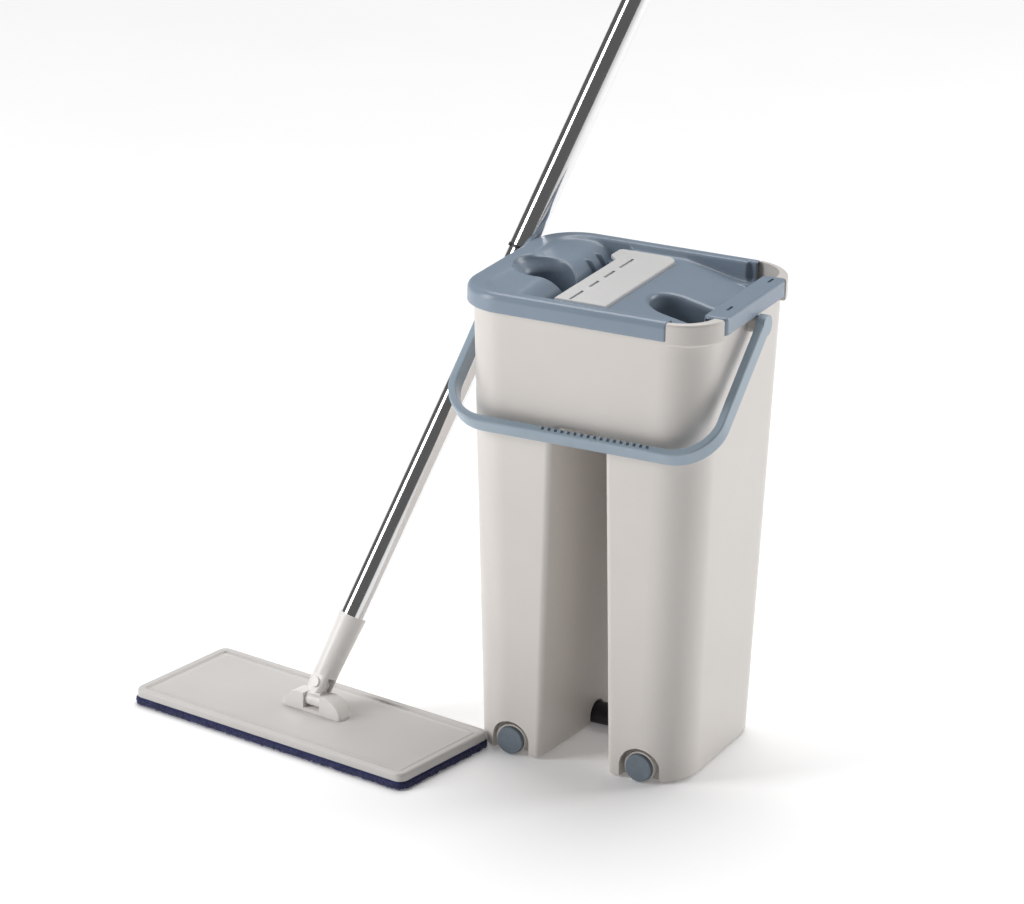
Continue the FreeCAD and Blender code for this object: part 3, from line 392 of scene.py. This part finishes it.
# ------------------------------------------------------------------ microfibre pad
HEAD_TURN = math.radians(-10.5)
PAD_HALF = (0.1500, 0.0620)
PAD_CORNER = 0.009
PAD_POINTS = 760
# step out from the pad's outline and height, from the underside over the edge to the top
PAD_PROFILE = [(-0.0060, 0.0004), (-0.0022, 0.0003), (-0.0006, 0.0012), (0.0004, 0.0026),
               (0.0006, 0.0042), (0.0000, 0.0056), (-0.0016, 0.0066), (-0.0060, 0.0069)]
LOOPS = 5200                     # round the pad's edge
YARN = 0.00028                   # radius
LOOP_ROOT = 0.0008               # how far a loop's two ends are sunk into the pad


def head_place(node):
    """Turns metres along and across a piece of the mop head into the row frame."""
    low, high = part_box(node)
    centre = Matrix.Translation(((low.x + high.x) / 2, (low.y + high.y) / 2, 0.0))
    return centre @ Matrix.Rotation(HEAD_TURN, 4, "Z")


def pad_outline(count, out):
    """Points round the pad, evenly spaced, moved outwards by out."""
    half_x = PAD_HALF[0] - PAD_CORNER
    half_y = PAD_HALF[1] - PAD_CORNER
    radius = PAD_CORNER + out
    arc = math.pi / 2 * PAD_CORNER
    total = 4 * (half_x + half_y + arc)
    points = []
    for at in np.arange(count) / count * total:
        for quarter, run in enumerate((2 * half_y, 2 * half_x, 2 * half_y, 2 * half_x)):
            turn = quarter * math.pi / 2
            corner = Vector((half_x, half_y)) if quarter % 2 == 0 else Vector((half_y, half_x))
            if at <= run:
                local = Vector((corner.x + radius, -corner.y + at))
                break
            at -= run
            if at <= arc:
                angle = at / PAD_CORNER
                local = corner + radius * Vector((math.cos(angle), math.sin(angle)))
                break
            at -= arc
        spin = Matrix.Rotation(turn, 2)
        points.append(spin @ local)
    return points


def make_pad():
    """Looped pad: crowned edge, pulled in at top and bottom, with uneven pile."""
    bm = bmesh.new()
    rings = []
    for step, (out, z) in enumerate(PAD_PROFILE):
        ring = []
        for point in pad_outline(PAD_POINTS, out):
            bulge = 1.0 + 0.006 * rng.rand() * (0 < step < 7)
            ring.append(bm.verts.new((point.x * bulge, point.y * bulge, z + 0.0003 * rng.rand())))
        rings.append(ring)
    skin(bm, rings)
    return mesh_object("microfibre_pad", bm, head_place("mop_pad"))


def make_loops():
    """Short curled loops of yarn that stand out round the pad's edge."""
    around = pad_outline(LOOPS, 0.0)
    bm = bmesh.new()
    for i, point in enumerate(around):
        ahead = around[(i + 1) % LOOPS] - point
        if ahead.length < 1e-6:
            continue
        along = Vector((ahead.x, ahead.y, 0)).normalized()
        outward = Vector((along.y, -along.x, 0))
        base = Vector((point.x, point.y, 0.0012 + 0.0046 * rng.rand()))
        reach = 0.0010 + 0.0011 * rng.rand()
        wide = 0.0007 + 0.0006 * rng.rand()
        rise = 0.0012 * (rng.rand() - 0.5)
        path = [base - along * wide - outward * LOOP_ROOT,
                base - along * wide * 0.9 + outward * reach * 0.7,
                base + outward * reach + Vector((0, 0, rise)),
                base + along * wide * 0.9 + outward * reach * 0.7,
                base + along * wide - outward * LOOP_ROOT]
        above = Vector((0, 0, YARN))
        rows = []
        for p in path:
            rows.append([bm.verts.new(p + above), bm.verts.new(p + along * YARN),
                         bm.verts.new(p - above), bm.verts.new(p - along * YARN)])
        skin(bm, rows)
    bmesh.ops.recalc_face_normals(bm, faces=bm.faces)
    return mesh_object("pad_loops", bm, head_place("mop_pad"))


# ------------------------------------------------------------------ mop plate
PLATE_HALF = (0.1500, 0.0620)
PLATE_CORNER = 0.0085
# inset from the plate's edge and height, in millimetres, from the underside over the lip to the deck
PLATE_PROFILE = [(3.4, 8.7), (3.0, 8.6), (2.6, 7.5), (0.6, 7.35), (0.15, 7.6), (0.0, 8.1),
                 (0.0, 12.2), (0.15, 13.4), (0.8, 14.5), (1.8, 15.05), (2.6, 15.18), (5.6, 15.18),
                 (6.4, 15.0), (7.0, 14.3), (7.3, 13.4), (7.7, 12.95), (8.6, 12.9), (9.1, 13.2),
                 (9.6, 13.75), (10.4, 13.95), (11.4, 13.9), (12.0, 13.6), (12.6, 13.4), (14.0, 13.38)]
CORNER_STEPS = 12
LEAST_CORNER = 0.0025            # of the innermost rings


def make_plate():
    """Plate of the mop: rounded lip, a groove inside it and a low second ridge round the deck."""
    bm = bmesh.new()
    rings = []
    for inset, height in PLATE_PROFILE:
        corner = max(PLATE_CORNER - inset / 1000.0, LEAST_CORNER)
        half_x = PLATE_HALF[0] - inset / 1000.0 - corner
        half_y = PLATE_HALF[1] - inset / 1000.0 - corner
        ring = []
        for quarter, (sx, sy) in enumerate(((1, 1), (-1, 1), (-1, -1), (1, -1))):
            for step in range(CORNER_STEPS + 1):
                angle = (quarter + step / CORNER_STEPS) * math.pi / 2
                ring.append(bm.verts.new((sx * half_x + corner * math.cos(angle),
                                          sy * half_y + corner * math.sin(angle), height / 1000.0)))
        rings.append(ring)
    skin(bm, rings)
    plate = mesh_object("plate_moulding", bm, head_place("mop_plate"))
    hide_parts("mop_plate")
    paint(plate, "mop_plastic")
    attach(plate, "mop_head")


make_plate()
pad = make_pad()
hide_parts("mop_pad")
loops = make_loops()
for piece in (pad, loops):
    paint(piece, "microfibre")
    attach(piece, "mop_head")


# ------------------------------------------------------------------ camera
AZIMUTH = math.radians(25.7727)
ELEVATION = math.radians(20.0459)
ROLL = math.radians(1.1916)
LOOK_AT = (-106.1, 0.0, 243.0)
CAMERA_AWAY = 3.9006
LENS = 158.203125
back = Vector((math.sin(AZIMUTH) * math.cos(ELEVATION), -math.cos(AZIMUTH) * math.cos(ELEVATION),
               math.sin(ELEVATION)))
target = place(*LOOK_AT)
forward = -back
right = forward.cross(Vector((0, 0, 1))).normalized()
up = right.cross(forward)
cam_right = right * math.cos(ROLL) + up * math.sin(ROLL)
cam_up = up * math.cos(ROLL) - right * math.sin(ROLL)
camera_data = bpy.data.cameras.new("camera")
camera_data.sensor_width = 36.0
camera_data.lens = LENS
camera = bpy.data.objects.new("camera", camera_data)
bpy.context.scene.collection.objects.link(camera)
pose = Matrix((cam_right, cam_up, back)).transposed().to_4x4()
pose.translation = target + back * CAMERA_AWAY
camera.matrix_world = pose
bpy.context.scene.camera = camera


# ------------------------------------------------------------------ studio
SKY = 0.12
FLOOR_GLOW = 0.1
LAMP_HEIGHT = 2.6


def area_light(name, at, aim, size, power):
    """Tall soft box at a point, aimed at another."""
    data = bpy.data.lights.new(name, "AREA")
    data.energy = power
    data.size = size
    data.shape = "RECTANGLE"
    data.size_y = LAMP_HEIGHT
    light = bpy.data.objects.new(name, data)
    bpy.context.scene.collection.objects.link(light)
    light.location = at
    light.rotation_euler = (Vector(aim) - Vector(at)).to_track_quat("-Z", "Y").to_euler()


middle = place(0, 0, 200)
area_light("key", middle + Vector((-2.5, -1.9, 1.15)), middle, 1.1, 63.0)
area_light("side", middle + Vector((2.3, 2.3, 1.0)), middle, 1.0, 52.0)
sun_data = bpy.data.lights.new("overhead", "SUN")
sun_data.energy = 2.2
sun_data.angle = math.radians(48.0)
overhead = bpy.data.objects.new("overhead", sun_data)
overhead.rotation_euler = (math.radians(-22.0), math.radians(-8.0), 0.0)
bpy.context.scene.collection.objects.link(overhead)
bpy.context.scene.view_settings.view_transform = "Standard"

world = bpy.data.worlds.new("studio")
bpy.context.scene.world = world
world.use_nodes = True
background = world.node_tree.nodes["Background"]
background.inputs[0].default_value = (1.0, 1.0, 1.0, 1.0)
background.inputs[1].default_value = SKY

floor_mat, floor_tree, floor_shader, floor_co = node_tree("studio_floor")
floor_tone = ramp(floor_tree, noise(floor_tree, floor_co, 3.0), [(0.3, 0.93), (0.7, 0.95)])
floor_tree.links.new(floor_tone, floor_shader.inputs["Base Color"])
floor_shader.inputs["Roughness"].default_value = 0.6
floor_shader.inputs["Emission Color"].default_value = (1.0, 1.0, 1.0, 1.0)
floor_shader.inputs["Emission Strength"].default_value = FLOOR_GLOW
bpy.ops.mesh.primitive_plane_add(size=60.0, location=(0, 0, 0))
floor = bpy.context.object
floor.name = "studio_floor"
floor.data.materials.append(floor_mat)
